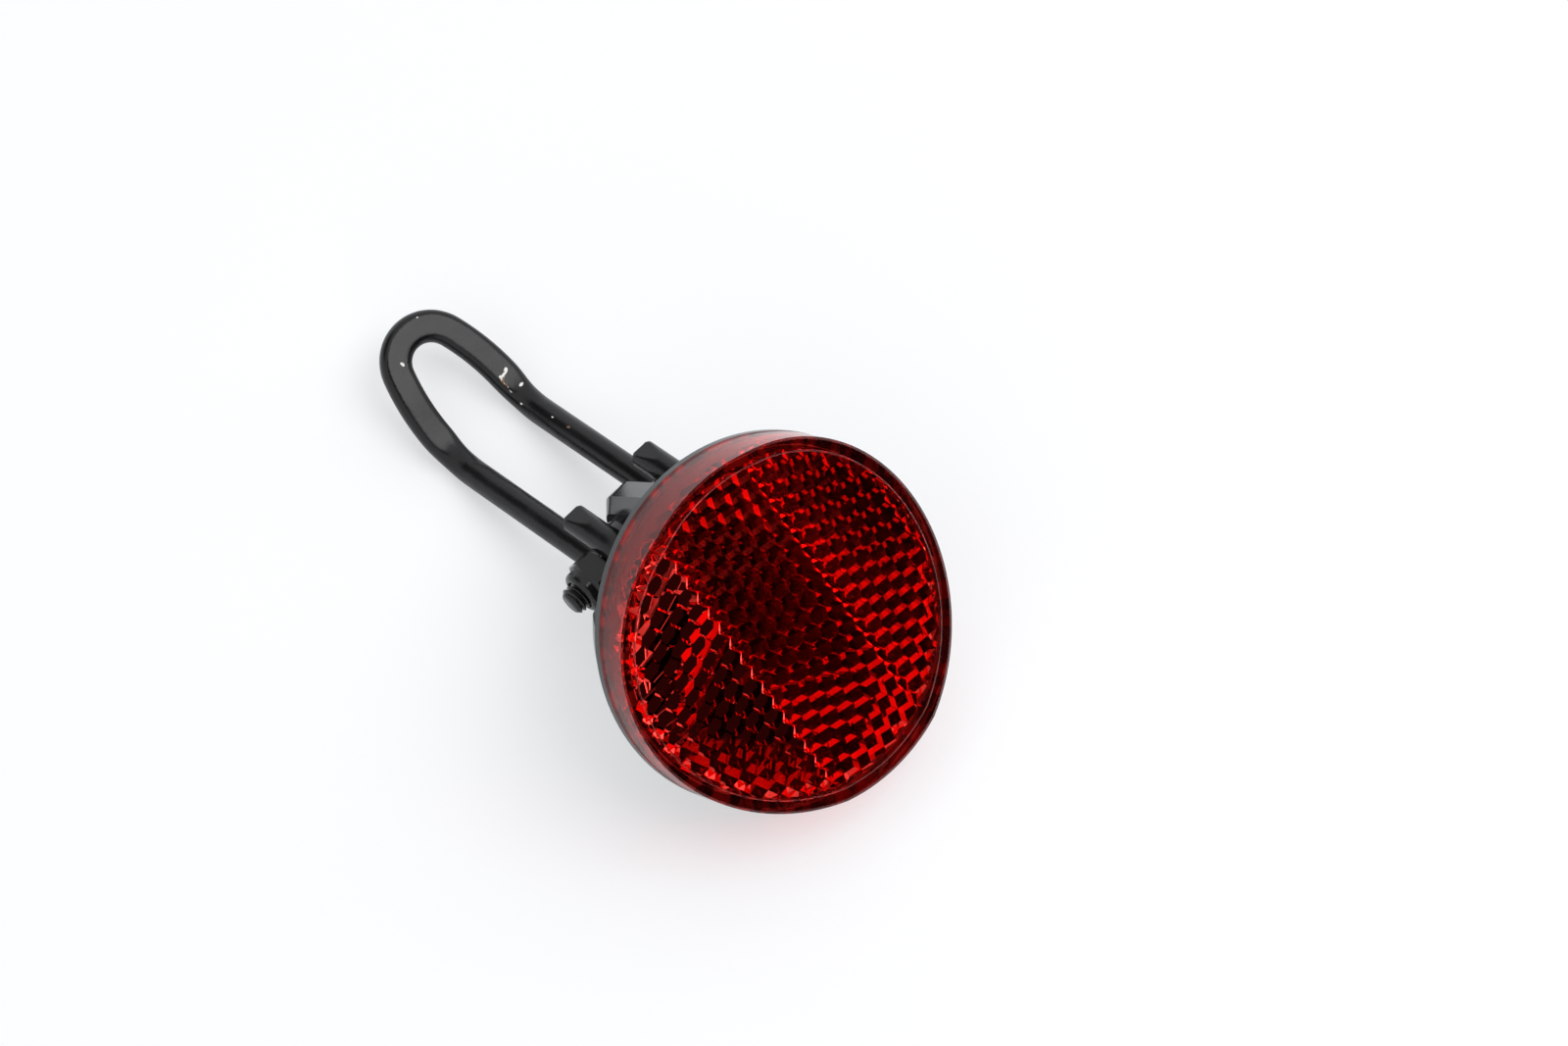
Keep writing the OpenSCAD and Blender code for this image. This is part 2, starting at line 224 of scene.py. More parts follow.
def wirePaintMaterial():
    material, nodes, links, shader = newMaterial("wirePaint")
    shader.inputs["Specular IOR Level"].default_value = 0.34
    grain = placeGroup(nodes, surfaceGrain, {
        "Scale": 2400.0, "Gloss Low": 0.2, "Gloss High": 0.32, "Height": 0.3,
        "Dark": (0.002, 0.002, 0.002, 1), "Light": (0.006, 0.006, 0.007, 1)})
    chips = None
    for place, stretch, size, ragged in paintChips:
        spot = placeGroup(nodes, raggedSpot, {
            "Place": [v * mm for v in place], "Stretch": stretch, "Size": size * mm, "Ragged": ragged * mm})
        if chips is None:
            chips = spot.outputs["Mask"]
            continue
        both = nodes.new("ShaderNodeMath")
        both.operation = "MAXIMUM"
        links.new(chips, both.inputs[0])
        links.new(spot.outputs["Mask"], both.inputs[1])
        chips = both.outputs["Value"]
    where = nodes.new("ShaderNodeTexCoord")
    rust = nodes.new("ShaderNodeTexNoise")  # bare steel, browned in places
    rust.inputs["Scale"].default_value = 1900
    links.new(where.outputs["Object"], rust.inputs["Vector"])
    steel = nodes.new("ShaderNodeValToRGB")
    steel.color_ramp.elements[0].position = 0.42
    steel.color_ramp.elements[0].color = (0.2, 0.1, 0.045, 1)
    steel.color_ramp.elements[1].position = 0.5
    steel.color_ramp.elements[1].color = (0.86, 0.85, 0.82, 1)
    links.new(rust.outputs["Fac"], steel.inputs["Fac"])
    tone = nodes.new("ShaderNodeMix")
    tone.data_type = "RGBA"
    links.new(chips, tone.inputs["Factor"])
    links.new(grain.outputs["Color"], tone.inputs["A"])
    links.new(steel.outputs["Color"], tone.inputs["B"])
    gloss = nodes.new("ShaderNodeMix")
    links.new(chips, gloss.inputs["Factor"])
    links.new(grain.outputs["Roughness"], gloss.inputs["A"])
    gloss.inputs["B"].default_value = 0.5
    bump = nodes.new("ShaderNodeBump")
    bump.invert = True
    bump.inputs["Strength"].default_value = 0.6
    bump.inputs["Distance"].default_value = 0.00008
    links.new(chips, bump.inputs["Height"])
    wave = nodes.new("ShaderNodeTexNoise")  # the paint lies a little uneven
    wave.inputs["Scale"].default_value = 170
    wave.inputs["Detail"].default_value = 1
    links.new(where.outputs["Object"], wave.inputs["Vector"])
    uneven = nodes.new("ShaderNodeBump")
    uneven.inputs["Strength"].default_value = 0.5
    uneven.inputs["Distance"].default_value = 0.0006
    links.new(wave.outputs["Fac"], uneven.inputs["Height"])
    links.new(grain.outputs["Normal"], uneven.inputs["Normal"])
    links.new(uneven.outputs["Normal"], bump.inputs["Normal"])
    links.new(tone.outputs["Result"], shader.inputs["Base Color"])
    links.new(gloss.outputs["Result"], shader.inputs["Roughness"])
    links.new(bump.outputs["Normal"], shader.inputs["Normal"])
    return material


wirePaint = wirePaintMaterial()
boltSteel = grainyMaterial(
    "boltSteel",
    {"Scale": 1800.0, "Gloss Low": 0.1, "Gloss High": 0.26, "Height": 0.2,
     "Dark": (0.006, 0.006, 0.006, 1), "Light": (0.03, 0.029, 0.028, 1)},
    metallic=0.35, specular=0.4,
)
nylonRing = grainyMaterial(
    "nylonRing",
    {"Scale": 1500.0, "Gloss Low": 0.35, "Gloss High": 0.5, "Height": 0.1,
     "Dark": (0.05, 0.05, 0.055, 1), "Light": (0.08, 0.08, 0.085, 1)},
)


lensLook = {
    "red": (1.0, 0.045, 0.035, 1), "ior": 1.49, "rim": 24.62, "rimEnd": 25.05, "line": 23.15, "lineWidth": 0.14,
    "shade": (0.82, 0.04, 0.05, 1),
    "weldStart": 7.25, "weldEnd": 7.5, "weldRoughness": 0.5,
}


def redLensMaterial():
    material, nodes, links, shader = newMaterial("redLens")
    shader.inputs["Base Color"].default_value = lensLook["red"]
    shader.inputs["IOR"].default_value = lensLook["ior"]
    shader.inputs["Transmission Weight"].default_value = 1.0
    shader.inputs["Specular Tint"].default_value = (1.0, 0.12, 0.1, 1)
    place = nodes.new("ShaderNodeTexCoord")
    # from the bracket's frame to the lens's own: its axis along Y, its centre at nought
    centre = lensToRow(0, 0, 0)
    turned = Matrix.Rotation(-lensTilt, 3, "X") @ centre
    own = nodes.new("ShaderNodeMapping")
    own.inputs["Rotation"].default_value = (-lensTilt, 0, 0)
    own.inputs["Location"].default_value = -turned
    links.new(place.outputs["Object"], own.inputs["Vector"])
    parts = nodes.new("ShaderNodeSeparateXYZ")
    links.new(own.outputs["Vector"], parts.inputs["Vector"])
    flat = nodes.new("ShaderNodeCombineXYZ")
    links.new(parts.outputs["X"], flat.inputs["X"])
    links.new(parts.outputs["Z"], flat.inputs["Z"])
    radius = nodes.new("ShaderNodeVectorMath")
    radius.operation = "LENGTH"
    links.new(flat.outputs["Vector"], radius.inputs[0])
    rim = nodes.new("ShaderNodeMapRange")  # the rounded edge of the front
    rim.interpolation_type = "SMOOTHSTEP"
    rim.inputs["From Min"].default_value = lensLook["rim"] * mm
    rim.inputs["From Max"].default_value = lensLook["rimEnd"] * mm
    rim.inputs["To Min"].default_value = 1.0
    rim.inputs["To Max"].default_value = 0.0
    links.new(radius.outputs["Value"], rim.inputs["Value"])
    away = nodes.new("ShaderNodeMath")
    away.operation = "SUBTRACT"
    links.new(radius.outputs["Value"], away.inputs[0])
    away.inputs[1].default_value = lensLook["line"] * mm
    span = nodes.new("ShaderNodeMath")
    span.operation = "ABSOLUTE"
    links.new(away.outputs["Value"], span.inputs[0])
    line = nodes.new("ShaderNodeMapRange")  # the fine step over the inner wall
    line.interpolation_type = "SMOOTHSTEP"
    line.inputs["From Min"].default_value = 0.0
    line.inputs["From Max"].default_value = lensLook["lineWidth"] * mm
    line.inputs["To Min"].default_value = 0.3
    line.inputs["To Max"].default_value = 0.0
    links.new(span.outputs["Value"], line.inputs["Value"])
    height = nodes.new("ShaderNodeMath")
    height.operation = "ADD"
    links.new(rim.outputs["Result"], height.inputs[0])
    links.new(line.outputs["Result"], height.inputs[1])
    bump = nodes.new("ShaderNodeBump")
    bump.inputs["Strength"].default_value = 1.0
    bump.inputs["Distance"].default_value = 0.0003
    links.new(height.outputs["Value"], bump.inputs["Height"])
    links.new(bump.outputs["Normal"], shader.inputs["Normal"])
    smudge = nodes.new("ShaderNodeTexNoise")
    smudge.inputs["Scale"].default_value = 160
    smudge.inputs["Detail"].default_value = 3
    links.new(place.outputs["Object"], smudge.inputs["Vector"])
    gloss = nodes.new("ShaderNodeMapRange")
    gloss.inputs["From Min"].default_value = 0.55
    gloss.inputs["From Max"].default_value = 0.75
    gloss.inputs["To Min"].default_value = 0.0
    gloss.inputs["To Max"].default_value = 0.03
    links.new(smudge.outputs["Fac"], gloss.inputs["Value"])
    weld = nodes.new("ShaderNodeMapRange")  # the cloudy weld next to the housing
    weld.interpolation_type = "SMOOTHSTEP"
    weld.inputs["From Min"].default_value = lensLook["weldStart"] * mm
    weld.inputs["From Max"].default_value = lensLook["weldEnd"] * mm
    weld.inputs["To Max"].default_value = lensLook["weldRoughness"]
    links.new(parts.outputs["Y"], weld.inputs["Value"])
    cloudy = nodes.new("ShaderNodeMath")
    cloudy.operation = "MAXIMUM"
    links.new(gloss.outputs["Result"], cloudy.inputs[0])
    links.new(weld.outputs["Result"], cloudy.inputs[1])
    links.new(cloudy.outputs["Value"], shader.inputs["Roughness"])
    clear = nodes.new("ShaderNodeBsdfTransparent")
    clear.inputs["Color"].default_value = lensLook["shade"]
    path = nodes.new("ShaderNodeLightPath")
    mix = nodes.new("ShaderNodeMixShader")
    links.new(path.outputs["Is Shadow Ray"], mix.inputs["Fac"])
    links.new(shader.outputs["BSDF"], mix.inputs[1])
    links.new(clear.outputs["BSDF"], mix.inputs[2])
    links.new(mix.outputs["Shader"], nodes["Material Output"].inputs["Surface"])
    return material


dress("rear_housing", housingPlastic)
dress("nut_insert", nylonRing)
dress("lens", redLensMaterial())
print("materials placed")

# ---- Geometry Nodes helpers

def newTree(name, inputs):
    # a tree with named inputs and one mesh output
    tree = bpy.data.node_groups.new(name, "GeometryNodeTree")
    for label, kind, value in inputs:
        socket = tree.interface.new_socket(name=label, in_out="INPUT", socket_type=kind)
        if value is not None:
            socket.default_value = value
    tree.interface.new_socket(name="Geometry", in_out="OUTPUT", socket_type="NodeSocketGeometry")
    return tree, tree.nodes.new("NodeGroupInput"), tree.nodes.new("NodeGroupOutput")


def step(tree, kind, feeds=(), **settings):
    # one node of a tree; feeds pairs an input's name or number with a value or an output
    node = tree.nodes.new(kind)
    for key, value in settings.items():
        setattr(node, key, value)
    for slot, feed in feeds:
        if isinstance(feed, bpy.types.NodeSocket):
            tree.links.new(feed, node.inputs[slot])
        else:
            node.inputs[slot].default_value = feed
    return node


def sums(tree, operation, *feeds):
    return step(tree, "ShaderNodeMath", list(enumerate(feeds)), operation=operation).outputs[0]


def vectors(tree, operation, *feeds):
    node = step(tree, "ShaderNodeVectorMath", list(enumerate(feeds)), operation=operation)
    return node.outputs["Value" if operation in ("DOT_PRODUCT", "LENGTH", "DISTANCE") else "Vector"]


def grow(name, mesh, tree, values):
    # runs the tree on the mesh and keeps the result as a plain mesh
    piece = bpy.data.objects.new(name, mesh)
    bpy.context.scene.collection.objects.link(piece)
    modifier = piece.modifiers.new("grow", "NODES")
    modifier.node_group = tree
    for item in tree.interface.items_tree:
        if item.in_out == "INPUT" and item.name in values:
            modifier[item.identifier] = values[item.name]
    bpy.context.view_layer.update()
    graph = bpy.context.evaluated_depsgraph_get()
    grown = bpy.data.meshes.new_from_object(piece.evaluated_get(graph))
    piece.modifiers.remove(modifier)
    piece.data = grown
    return piece


def sharpen(tree, geometry, degrees):
    # smooth faces, with a crease where two faces meet at more than this angle
    smooth = step(tree, "GeometryNodeSetShadeSmooth", [("Geometry", geometry)])
    angle = step(tree, "GeometryNodeInputMeshEdgeAngle").outputs["Unsigned Angle"]
    crease = sums(tree, "GREATER_THAN", angle, math.radians(degrees))
    return step(tree, "GeometryNodeSetShadeSmooth",
                [("Geometry", smooth.outputs[0]), ("Selection", crease), ("Shade Smooth", False)],
                domain="EDGE").outputs[0]


# ---- wire bracket: one wire along its path, pressed flat at the loop

wireSizes = {
    "wire": 4.0, "pressed": 2.9, "softness": 0.5,
    "loopRadius": 5.2, "strandSpacing": 13.2, "flareAngle": 18.0, "bendStart": -9.8,
    "pressEnd": -7.2, "pressRun": 6.2, "widening": 0.15,
    "bendRadius": 8.0, "bendAngle": 43.5, "strandLength": 31.0, "hookRadius": 4.1, "tailLength": 7.2,
    "endRound": 0.3, "pinchHalf": 1.3, "pinchAngle": 10.0, "pinchReach": 4.6,
}


def wireHalf(sizes):
    # centre line of one side in mm, from the top of the loop to the cut end of the hook
    half = sizes["strandSpacing"] / 2
    r = sizes["loopRadius"]
    flare = math.radians(sizes["flareAngle"])
    bend = math.radians(sizes["bendAngle"])
    points = [Vector((r * math.cos(a), 0, r * math.sin(a)))
              for a in (math.pi / 2 + (flare - math.pi / 2) * k / 24 for k in range(25))]
    big = (half - r * math.cos(flare)) / (1 - math.cos(flare))
    low = (r - big) * math.sin(flare)
    points += [Vector((half - big + big * math.cos(a), 0, low + big * math.sin(a)))
               for a in (flare * (1 - k / 16) for k in range(1, 17))]
    b = sizes["bendRadius"]
    points += [Vector((half, -b + b * math.cos(a), sizes["bendStart"] - b * math.sin(a)))
               for a in (bend * k / 16 for k in range(17))]
    down = Vector((0, -math.sin(bend), -math.cos(bend)))
    points += [points[-1] + down * sizes["strandLength"] * k / 20 for k in range(1, 21)]
    across = Vector((0, -math.cos(bend), math.sin(bend)))
    h = sizes["hookRadius"]
    centre = points[-1] + across * h
    points += [centre - across * h * math.cos(a) + down * h * math.sin(a) for a in (math.pi * k / 24 for k in range(1, 25))]
    points += [points[-1] - down * sizes["tailLength"] * k / 6 for k in range(1, 7)]
    return points, across, -down


def pressedWireTree():
    tree, start, end = newTree("pressedWire", [
        ("Path", "NodeSocketGeometry", None), ("Wire Radius", "NodeSocketFloat", 0.002),
        ("Pressed Half", "NodeSocketFloat", 0.00145), ("Softness", "NodeSocketFloat", 0.0005),
        ("Press End", "NodeSocketFloat", -0.0098), ("Press Run", "NodeSocketFloat", 0.0026), ("Widening", "NodeSocketFloat", 0.15),
        ("End Round", "NodeSocketFloat", 0.0003), ("Tail End", "NodeSocketVector", None),
        ("Pinch Half", "NodeSocketFloat", 0.001), ("Pinch Reach", "NodeSocketFloat", 0.0052), ("Pinch Front", "NodeSocketVector", None),
        ("Pinch Back", "NodeSocketVector", None), ("Pinch Way", "NodeSocketVector", None),
        ("Material", "NodeSocketMaterial", None)])
    line = step(tree, "GeometryNodeMeshToCurve", [("Mesh", start.outputs["Path"])])
    even = step(tree, "GeometryNodeResampleCurve", [("Curve", line.outputs[0]), ("Length", 0.0003)], mode="LENGTH")
    along = step(tree, "GeometryNodeSplineParameter").outputs["Length"]
    total = step(tree, "GeometryNodeSplineLength").outputs["Length"]
    fromEnd = sums(tree, "MINIMUM", along, sums(tree, "SUBTRACT", total, along))
    girth = step(tree, "ShaderNodeMapRange", [("Value", fromEnd), ("From Min", 0.0), ("From Max", start.outputs["End Round"]),
                                              ("To Min", 0.86), ("To Max", 1.0)])
    ring = step(tree, "GeometryNodeCurvePrimitiveCircle", [("Resolution", 48), ("Radius", start.outputs["Wire Radius"])])
    kept = step(tree, "GeometryNodeStoreNamedAttribute", [
        ("Geometry", even.outputs[0]), ("Name", "centreLine"), ("Value", step(tree, "GeometryNodeInputPosition").outputs[0])],
        data_type="FLOAT_VECTOR", domain="POINT")
    tube = step(tree, "GeometryNodeCurveToMesh", [("Curve", kept.outputs[0]), ("Profile Curve", ring.outputs[0]),
                                                  ("Scale", girth.outputs[0]), ("Fill Caps", True)])
    # the press squeezes the loop between two flats that run out at the bend
    place = step(tree, "GeometryNodeInputPosition").outputs[0]
    parts = step(tree, "ShaderNodeSeparateXYZ", [(0, place)])
    centre = step(tree, "GeometryNodeInputNamedAttribute", [("Name", "centreLine")], data_type="FLOAT_VECTOR").outputs["Attribute"]
    middle = step(tree, "ShaderNodeSeparateXYZ", [(0, centre)])
    squeeze = step(tree, "ShaderNodeMapRange", [
        ("Value", middle.outputs["Z"]), ("From Min", sums(tree, "SUBTRACT", start.outputs["Press End"], start.outputs["Press Run"])),
        ("From Max", start.outputs["Press End"])], interpolation_type="SMOOTHERSTEP")
    deep = sums(tree, "ABSOLUTE", parts.outputs["Y"])
    flat = sums(tree, "SMOOTH_MIN", deep, start.outputs["Pressed Half"], start.outputs["Softness"])
    less = sums(tree, "MULTIPLY", sums(tree, "SUBTRACT", flat, deep), squeeze.outputs[0])
    newY = sums(tree, "MULTIPLY", sums(tree, "ADD", deep, less), sums(tree, "SIGN", parts.outputs["Y"]))
    wider = sums(tree, "MULTIPLY", start.outputs["Widening"], squeeze.outputs[0])
    newX = sums(tree, "MULTIPLY_ADD", sums(tree, "SUBTRACT", parts.outputs["X"], middle.outputs["X"]), wider, parts.outputs["X"])
    newZ = sums(tree, "MULTIPLY_ADD", sums(tree, "SUBTRACT", parts.outputs["Z"], middle.outputs["Z"]), wider, parts.outputs["Z"])
    moved = step(tree, "ShaderNodeCombineXYZ", [("X", newX), ("Y", newY), ("Z", newZ)])
    squeezed = step(tree, "GeometryNodeSetPosition", [("Geometry", tube.outputs[0]), ("Position", moved.outputs[0])])
    pressed = step(tree, "GeometryNodeRemoveAttribute", [("Geometry", squeezed.outputs[0]), ("Name", "centreLine")])
    # the cutter pinches each cut end between two slanted planes
    shape = pressed.outputs[0]
    tail = start.outputs["Tail End"]
    for side, plane in ((1.0, "Pinch Front"), (-1.0, "Pinch Back")):
        here = step(tree, "GeometryNodeInputPosition").outputs[0]
        folded = vectors(tree, "ABSOLUTE", here)
        xOnly = step(tree, "ShaderNodeSeparateXYZ", [(0, folded)]).outputs["X"]
        yz = step(tree, "ShaderNodeSeparateXYZ", [(0, here)])
        oneSide = step(tree, "ShaderNodeCombineXYZ", [("X", xOnly), ("Y", yz.outputs["Y"]), ("Z", yz.outputs["Z"])]).outputs[0]
        near = sums(tree, "LESS_THAN", vectors(tree, "DISTANCE", oneSide, tail), start.outputs["Pinch Reach"])
        shift = step(tree, "ShaderNodeVectorMath", [(0, start.outputs["Pinch Way"]), (3, sums(tree, "MULTIPLY", start.outputs["Pinch Half"], side))],
                     operation="SCALE").outputs["Vector"]
        onPlane = vectors(tree, "ADD", tail, shift)
        over = sums(tree, "MAXIMUM", vectors(tree, "DOT_PRODUCT", vectors(tree, "SUBTRACT", oneSide, onPlane), start.outputs[plane]), 0.0)
        back = step(tree, "ShaderNodeVectorMath", [(0, start.outputs[plane]), (3, sums(tree, "MULTIPLY", over, -1.0))], operation="SCALE").outputs["Vector"]
        shape = step(tree, "GeometryNodeSetPosition", [("Geometry", shape), ("Selection", near), ("Offset", back)]).outputs[0]
    creased = sharpen(tree, shape, 38)
    real = step(tree, "GeometryNodeRealizeInstances", [("Geometry", creased)])
    painted = step(tree, "GeometryNodeSetMaterial", [("Geometry", real.outputs[0]), ("Material", start.outputs["Material"])])
    tree.links.new(painted.outputs[0], end.inputs["Geometry"])
    return tree


def makeWire():
    half, across, onward = wireHalf(wireSizes)
    line = [Vector((-p.x, p.y, p.z)) for p in reversed(half[1:])] + half
    path = bpy.data.meshes.new("wirePath")
    path.from_pydata([p * mm for p in line], [(k, k + 1) for k in range(len(line) - 1)], [])
    slant = math.radians(wireSizes["pinchAngle"])
    wire = grow("bentWire", path, pressedWireTree(), {
        "Wire Radius": wireSizes["wire"] / 2 * mm, "Pressed Half": wireSizes["pressed"] / 2 * mm,
        "Softness": wireSizes["softness"] * mm, "Press End": wireSizes["pressEnd"] * mm,
        "Press Run": wireSizes["pressRun"] * mm, "Widening": wireSizes["widening"], "End Round": wireSizes["endRound"] * mm,
        "Tail End": half[-1] * mm, "Pinch Half": wireSizes["pinchHalf"] * mm, "Pinch Reach": wireSizes["pinchReach"] * mm, "Pinch Way": across,
        "Pinch Front": across * math.cos(slant) + onward * math.sin(slant),
        "Pinch Back": -across * math.cos(slant) + onward * math.sin(slant),
        "Material": wirePaint})
    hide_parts("wire_bracket")
    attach(wire, "bracket")
    print("wire", len(wire.data.polygons), "faces")


makeWire()


# ---- cross bolt and lock nut

boltSizes = {
    "headX": 8.65, "length": 24.1, "threaded": 12.0, "pitch": 0.7, "crest": 1.99, "root": 1.62, "chamfer": 0.55,
    "headRadius": 4.0, "headHeight": 2.6, "edgeHeight": 0.9, "recessDepth": 1.5, "recessHalf": 0.5, "recessReach": 2.1,
}
nutSizes = {
    "innerX": -8.65, "flats": 7.0, "hexHeight": 3.4, "collarRadius": 3.15, "collarHeight": 1.6, "collarRound": 0.85,
    "lipRadius": 2.2, "lipHeight": 0.5, "seatRadius": 2.7, "bore": 2.05, "chamferRadius": 3.42,
}


def threadedShankTree():
    tree, start, end = newTree("threadedShank", [
        ("Geometry", "NodeSocketGeometry", None), ("Length", "NodeSocketFloat", 0.024), ("Threaded", "NodeSocketFloat", 0.012),
        ("Pitch", "NodeSocketFloat", 0.0007), ("Crest Radius", "NodeSocketFloat", 0.002),
        ("Root Radius", "NodeSocketFloat", 0.0016), ("Chamfer", "NodeSocketFloat", 0.0005),
        ("Move", "NodeSocketVector", None), ("Material", "NodeSocketMaterial", None)])
    rows = sums(tree, "DIVIDE", start.outputs["Length"], 0.00007)
    rod = step(tree, "GeometryNodeMeshCylinder", [("Vertices", 48), ("Side Segments", rows), ("Radius", start.outputs["Crest Radius"]),
                                                  ("Depth", start.outputs["Length"])])
    up = step(tree, "ShaderNodeCombineXYZ", [("Z", sums(tree, "DIVIDE", start.outputs["Length"], 2.0))])
    raised = step(tree, "GeometryNodeTransform", [("Geometry", rod.outputs["Mesh"]), ("Translation", up.outputs[0])])
    place = step(tree, "GeometryNodeInputPosition").outputs[0]
    parts = step(tree, "ShaderNodeSeparateXYZ", [(0, place)])
    turn = sums(tree, "DIVIDE", sums(tree, "ARCTAN2", parts.outputs["Y"], parts.outputs["X"]), 2 * math.pi)
    phase = sums(tree, "FRACT", sums(tree, "ADD", sums(tree, "SUBTRACT", sums(tree, "DIVIDE", parts.outputs["Z"], start.outputs["Pitch"]), turn), 8.0))
    wave = sums(tree, "MULTIPLY", sums(tree, "ABSOLUTE", sums(tree, "SUBTRACT", phase, 0.5)), 2.0)
    tooth = step(tree, "ShaderNodeMapRange", [("Value", wave), ("From Min", 0.12), ("From Max", 0.88), ("To Min", start.outputs["Crest Radius"]),
                                              ("To Max", start.outputs["Root Radius"])])
    onThread = sums(tree, "LESS_THAN", parts.outputs["Z"], start.outputs["Threaded"])
    depth = sums(tree, "MULTIPLY", sums(tree, "SUBTRACT", tooth.outputs[0], start.outputs["Crest Radius"]), onThread)
    limit = sums(tree, "ADD", sums(tree, "SUBTRACT", start.outputs["Crest Radius"], start.outputs["Chamfer"]), parts.outputs["Z"])
    radius = sums(tree, "MINIMUM", sums(tree, "ADD", start.outputs["Crest Radius"], depth), limit)
    flatPlace = step(tree, "ShaderNodeCombineXYZ", [("X", parts.outputs["X"]), ("Y", parts.outputs["Y"])]).outputs[0]
    outward = vectors(tree, "NORMALIZE", flatPlace)
    spread = step(tree, "ShaderNodeVectorMath", [(0, outward), (3, radius)], operation="SCALE").outputs["Vector"]
    lifted = step(tree, "ShaderNodeCombineXYZ", [("Z", parts.outputs["Z"])]).outputs[0]
    cut = step(tree, "GeometryNodeSetPosition", [("Geometry", raised.outputs[0]), ("Position", vectors(tree, "ADD", spread, lifted))])
    laid = step(tree, "GeometryNodeTransform", [("Geometry", cut.outputs[0]), ("Translation", start.outputs["Move"]),
                                                ("Rotation", (0.0, math.pi / 2, 0.0))])
    real = step(tree, "GeometryNodeRealizeInstances", [("Geometry", sharpen(tree, laid.outputs[0], 50))])
    painted = step(tree, "GeometryNodeSetMaterial", [("Geometry", real.outputs[0]), ("Material", start.outputs["Material"])])
    tree.links.new(painted.outputs[0], end.inputs["Geometry"])
    return tree


def ringMesh(name, rows, steps, closed, place):
    # rows of points round an axis, joined row to row; place turns them into the bracket's frame
    points = [place @ point for row in rows for point in row]
    faces = []
    count = len(rows)
    for k in range(count if closed else count - 1):
        a, b = k * steps, ((k + 1) % count) * steps
        faces += [(a + i, a + (i + 1) % steps, b + (i + 1) % steps, b + i) for i in range(steps)]
    mesh = bpy.data.meshes.new(name)
    mesh.from_pydata(points, [], faces)
    mesh.update()
    return mesh


def tidyShape(mesh, degrees):
    # merged, turned outwards, smooth with creases
    work = bmesh.new()
    work.from_mesh(mesh)
    bmesh.ops.remove_doubles(work, verts=work.verts, dist=1e-6)
    bmesh.ops.recalc_face_normals(work, faces=work.faces)
    for face in work.faces:
        face.smooth = True
    for edge in work.edges:
        edge.smooth = len(edge.link_faces) == 2 and edge.calc_face_angle(0) < math.radians(degrees)
    work.to_mesh(mesh)
    work.free()


def makeBolt():
    s = boltSizes
    endX = s["headX"] - s["length"]
    shank = grow("crossBolt", bpy.data.meshes.new("shankSeed"), threadedShankTree(), {
        "Length": s["length"] * mm, "Threaded": s["threaded"] * mm, "Pitch": s["pitch"] * mm,
        "Crest Radius": s["crest"] * mm, "Root Radius": s["root"] * mm, "Chamfer": s["chamfer"] * mm,
        "Move": Vector((endX * mm, pivotPoint.y, pivotPoint.z)), "Material": boltSteel})
    # round head with a cross recess pressed into its crown
    steps, crown = 96, s["headHeight"] - s["edgeHeight"]
    ball = (s["headRadius"] ** 2 + crown ** 2) / (2 * crown)
    rows = [[Vector((0, 0, 0))] * steps]
    outline = [(s["headRadius"] - 0.15, 0.0), (s["headRadius"], 0.15), (s["headRadius"], s["edgeHeight"])]
    outline += [(s["headRadius"] * (1 - k / 40), None) for k in range(1, 41)]
    for r, z in outline:
        row = []
        for i in range(steps):
            a = 2 * math.pi * i / steps
            x, y = r * math.cos(a), r * math.sin(a)
            if z is None:
                top = s["edgeHeight"] + math.sqrt(max(ball * ball - r * r, 0)) - (ball - crown)
                arm = min(abs(x), abs(y))
                inside = min(max((s["recessHalf"] - arm) / 0.18, 0), 1) * min(max((s["recessReach"] - r) / 0.35, 0), 1)
                top -= inside * s["recessDepth"] * (1 - 0.45 * r / s["recessReach"]) if r < s["recessReach"] else 0
            else:
                top = z
            row.append(Vector((x, y, top)))
        rows.append(row)
    place = Matrix.Translation(Vector((s["headX"] * mm, pivotPoint.y, pivotPoint.z))) @ Matrix.Rotation(math.pi / 2, 4, "Y") @ Matrix.Scale(mm, 4)
    head = ringMesh("boltHead", rows, steps, False, place)
    tidyShape(head, 32)
    work = bmesh.new()
    work.from_mesh(shank.data)
    work.from_mesh(head)
    for face in work.faces:
        face.material_index = 0
    work.to_mesh(shank.data)
    work.free()
    shank.data.materials.clear()
    shank.data.materials.append(boltSteel)
    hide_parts("pivot_bolt")
    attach(shank, "bracket")
    print("bolt", len(shank.data.polygons), "faces")


